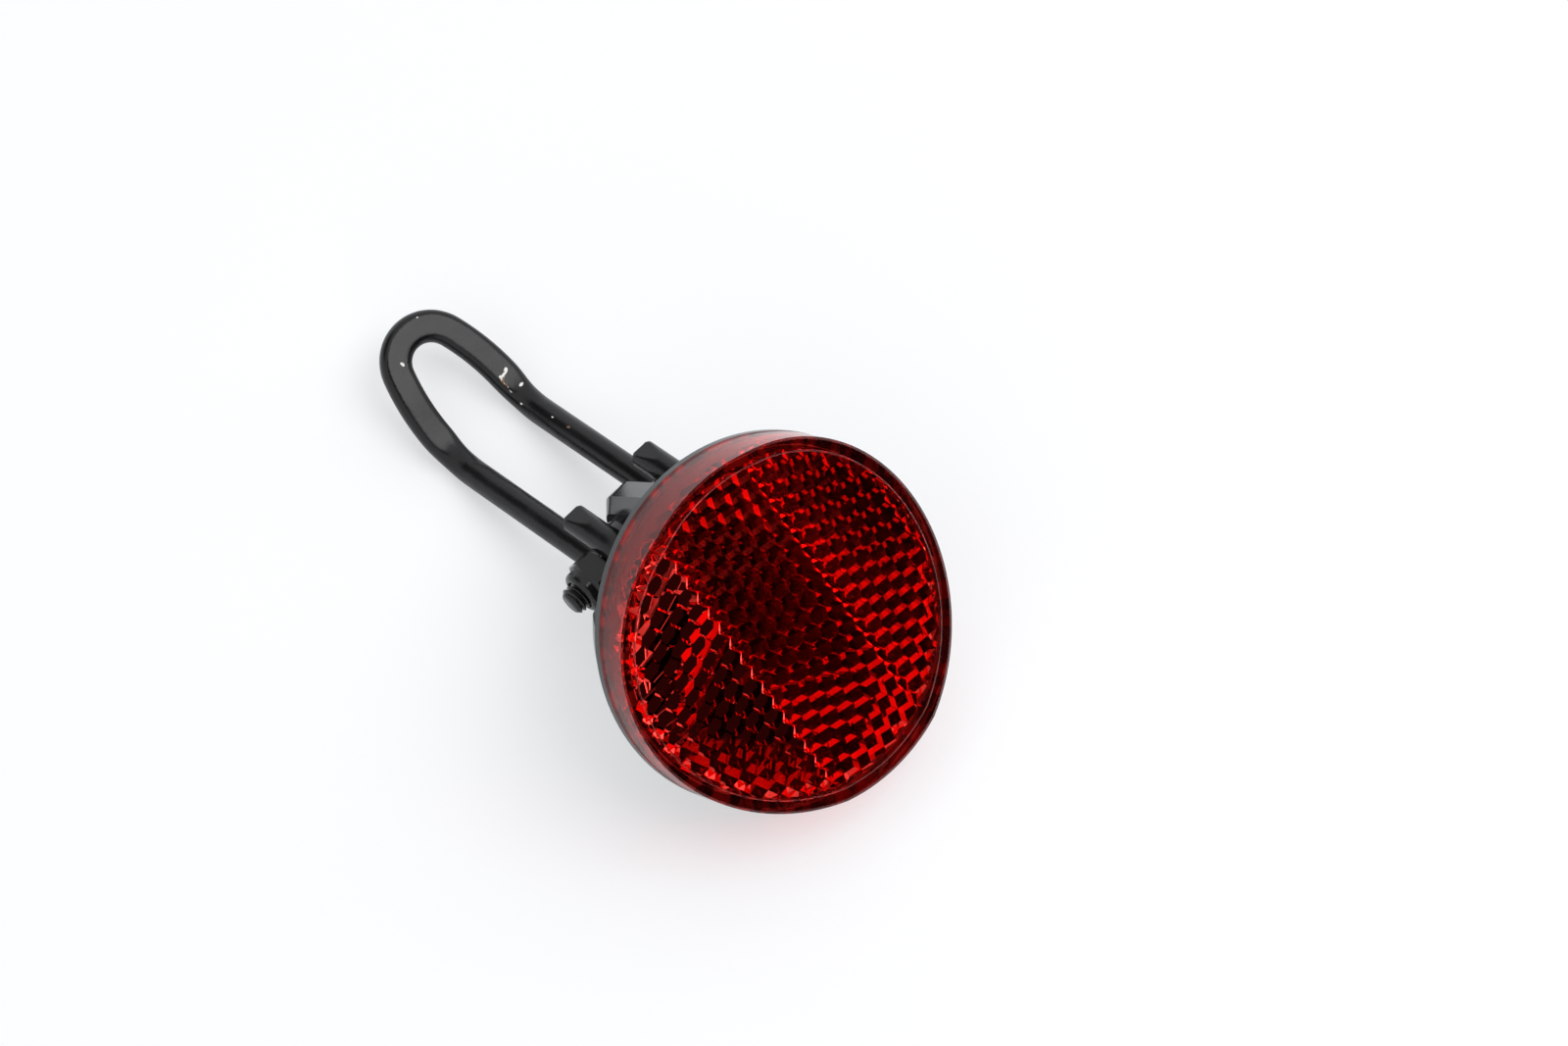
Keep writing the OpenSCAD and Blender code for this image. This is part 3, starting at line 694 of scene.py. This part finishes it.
def makeNut():
    s = nutSizes
    steps = 120

    def hexRadius(a):
        return s["flats"] / 2 / math.cos((a + math.pi / 6) % (math.pi / 3) - math.pi / 6)

    def row(radius, height):
        # radius None is the hexagon's side, and its height leans with the turned-off corners
        points = []
        for i in range(steps):
            a = 2 * math.pi * i / steps
            out = hexRadius(a)
            lean = max(out - s["chamferRadius"], 0) * math.tan(math.radians(32))
            if radius is None:
                points.append(Vector((out * math.cos(a), out * math.sin(a), height + (lean if height == 0 else -lean))))
            else:
                r = min(radius, out)
                points.append(Vector((r * math.cos(a), r * math.sin(a), height)))
        return points

    top = s["hexHeight"] + s["collarHeight"]
    roundness = s["collarRound"]
    rows = [row(s["bore"], 0.0), row(s["chamferRadius"], 0.0), row(None, 0.0), row(None, s["hexHeight"]),
            row(s["chamferRadius"], s["hexHeight"]), row(s["collarRadius"] + 0.12, s["hexHeight"]),
            row(s["collarRadius"], s["hexHeight"] + 0.12)]
    for k in range(9):
        a = math.pi / 2 * k / 8
        rows.append(row(s["collarRadius"] - roundness * (1 - math.cos(a)), top - roundness + roundness * math.sin(a)))
    rows += [row(s["lipRadius"], top - 0.06), row(s["lipRadius"], top - s["lipHeight"]),
             row(s["seatRadius"], top - s["lipHeight"]), row(s["seatRadius"], s["hexHeight"]), row(s["bore"], s["hexHeight"])]
    place = Matrix.Translation(Vector((s["innerX"] * mm, pivotPoint.y, pivotPoint.z))) @ Matrix.Rotation(-math.pi / 2, 4, "Y") @ Matrix.Scale(mm, 4)
    mesh = ringMesh("lockNutShape", rows, steps, True, place)
    tidyShape(mesh, 24)
    mesh.materials.append(boltSteel)
    nut = bpy.data.objects.new("lockNut", mesh)
    bpy.context.scene.collection.objects.link(nut)
    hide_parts("lock_nut")
    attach(nut, "bracket")
    print("nut", len(mesh.polygons), "faces")


makeBolt()
makeNut()

# ---- table, light and camera

table = {"normal": Vector((0.0, -0.9132, 0.4076)), "height": -6.70 * mm, "half": 0.24, "shadowDepth": 0.52}


def makeTable():
    normal = table["normal"].normalized()
    side = Vector((1, 0, 0))
    along = normal.cross(side)
    centre = normal * table["height"] + along * -0.02
    half = table["half"]
    corners = [centre + side * a * half + along * b * half for a, b in ((-1, -1), (1, -1), (1, 1), (-1, 1))]
    mesh = bpy.data.meshes.new("tableTop")
    mesh.from_pydata(corners, [], [(0, 1, 2, 3)])
    top = bpy.data.objects.new("tableTop", mesh)
    bpy.context.scene.collection.objects.link(top)
    material, nodes, links, shader = newMaterial("tableWhite")
    shader.inputs["Base Color"].default_value = (0.94, 0.95, 0.965, 1)
    shader.inputs["Roughness"].default_value = 0.7
    shader.inputs["Specular IOR Level"].default_value = 0.2
    white = nodes.new("ShaderNodeEmission")  # the pale background as the camera sees it
    white.inputs["Color"].default_value = (0.985, 0.99, 1.0, 1)
    path = nodes.new("ShaderNodeLightPath")
    share = nodes.new("ShaderNodeMath")
    share.operation = "MULTIPLY"
    links.new(path.outputs["Is Camera Ray"], share.inputs[0])
    share.inputs[1].default_value = 1 - table["shadowDepth"]
    seen = nodes.new("ShaderNodeMixShader")
    links.new(share.outputs["Value"], seen.inputs["Fac"])
    links.new(shader.outputs["BSDF"], seen.inputs[1])
    links.new(white.outputs["Emission"], seen.inputs[2])
    clear = nodes.new("ShaderNodeBsdfTransparent")
    facing = nodes.new("ShaderNodeNewGeometry")
    mix = nodes.new("ShaderNodeMixShader")
    links.new(facing.outputs["Backfacing"], mix.inputs["Fac"])
    links.new(seen.outputs["Shader"], mix.inputs[1])
    links.new(clear.outputs["BSDF"], mix.inputs[2])
    links.new(mix.outputs["Shader"], nodes["Material Output"].inputs["Surface"])
    mesh.materials.append(material)


makeTable()

cameraSizes = {
    "right": Vector((0.6889, -0.3052, -0.6574)),
    "up": Vector((0.6649, -0.0950, 0.7409)),
    "back": Vector((-0.2886, -0.9475, 0.1375)),
    "distance": 570.0 * mm,
    "lens": 100.3,
    "shift": (-0.00964, 0.0672),
}


def makeCamera():
    data = bpy.data.cameras.new("photoCamera")
    data.lens = cameraSizes["lens"]
    data.sensor_width = 36.0
    data.shift_x, data.shift_y = cameraSizes["shift"]
    data.clip_start = 0.01
    camera = bpy.data.objects.new("photoCamera", data)
    bpy.context.scene.collection.objects.link(camera)
    turn = Matrix((cameraSizes["right"], cameraSizes["up"], cameraSizes["back"])).transposed().to_4x4()
    place = lensToRow(0, 0, 0) + cameraSizes["back"] * cameraSizes["distance"]
    camera.matrix_world = Matrix.Translation(place) @ turn
    bpy.context.scene.camera = camera


makeCamera()


def softBox(name, direction, distance, size, power):
    data = bpy.data.lights.new(name, "AREA")
    data.shape = "RECTANGLE"
    data.size, data.size_y = size
    data.energy = power
    lamp = bpy.data.objects.new(name, data)
    bpy.context.scene.collection.objects.link(lamp)
    aim = lensToRow(0, 0, 0)
    away = Vector(direction).normalized()
    lamp.matrix_world = Matrix.Translation(aim + away * distance) @ away.to_track_quat("Z", "Y").to_matrix().to_4x4()
    return lamp


right, up, back = cameraSizes["right"], cameraSizes["up"], cameraSizes["back"]
softBox("softRight", 0.45 * right + 0.35 * up + 0.82 * back, 0.8, (0.56, 0.5), 2.6)

room = {
    "level": 1.06,
    # dark parts of the room: direction, inner and outer angle, level left
    "dark": [
        (back, 8.0, 18.0, 0.02),
        (0.86 * right - 0.26 * up + 0.45 * back, 22.0, 45.0, 0.03),
        (-0.76 * right + 0.52 * up + 0.39 * back, 12.0, 32.0, 0.1),
    ],
}


def makeWorld():
    # a pale room with a few dark parts; the camera itself sees plain white
    world = bpy.data.worlds.new("softRoom")
    bpy.context.scene.world = world
    world.use_nodes = True
    nodes, links = world.node_tree.nodes, world.node_tree.links
    around = nodes["Background"]
    place = nodes.new("ShaderNodeTexCoord")

    def zone(direction, inner, outer, near, far):
        dot = nodes.new("ShaderNodeVectorMath")
        dot.operation = "DOT_PRODUCT"
        dot.inputs[1].default_value = tuple(direction.normalized())
        links.new(place.outputs["Generated"], dot.inputs[0])
        fade = nodes.new("ShaderNodeMapRange")
        fade.interpolation_type = "SMOOTHSTEP"
        fade.inputs["From Min"].default_value = math.cos(math.radians(outer))
        fade.inputs["From Max"].default_value = math.cos(math.radians(inner))
        fade.inputs["To Min"].default_value = far
        fade.inputs["To Max"].default_value = near
        links.new(dot.outputs["Value"], fade.inputs["Value"])
        return fade.outputs["Result"]

    level = zone(*room["dark"][0][:3], room["dark"][0][3], room["level"])
    for direction, inner, outer, left in room["dark"][1:]:
        both = nodes.new("ShaderNodeMath")
        both.operation = "MULTIPLY"
        links.new(level, both.inputs[0])
        links.new(zone(direction, inner, outer, left, 1.0), both.inputs[1])
        level = both.outputs["Value"]
    links.new(level, around.inputs["Strength"])
    around.inputs["Color"].default_value = (0.97, 0.985, 1, 1)
    plain = nodes.new("ShaderNodeBackground")
    plain.inputs["Strength"].default_value = 1.0
    path = nodes.new("ShaderNodeLightPath")
    mix = nodes.new("ShaderNodeMixShader")
    links.new(path.outputs["Is Camera Ray"], mix.inputs["Fac"])
    links.new(around.outputs["Background"], mix.inputs[1])
    links.new(plain.outputs["Background"], mix.inputs[2])
    links.new(mix.outputs["Shader"], nodes["World Output"].inputs["Surface"])


makeWorld()
bpy.context.scene.view_settings.view_transform = "Standard"
print("table, light and camera placed")
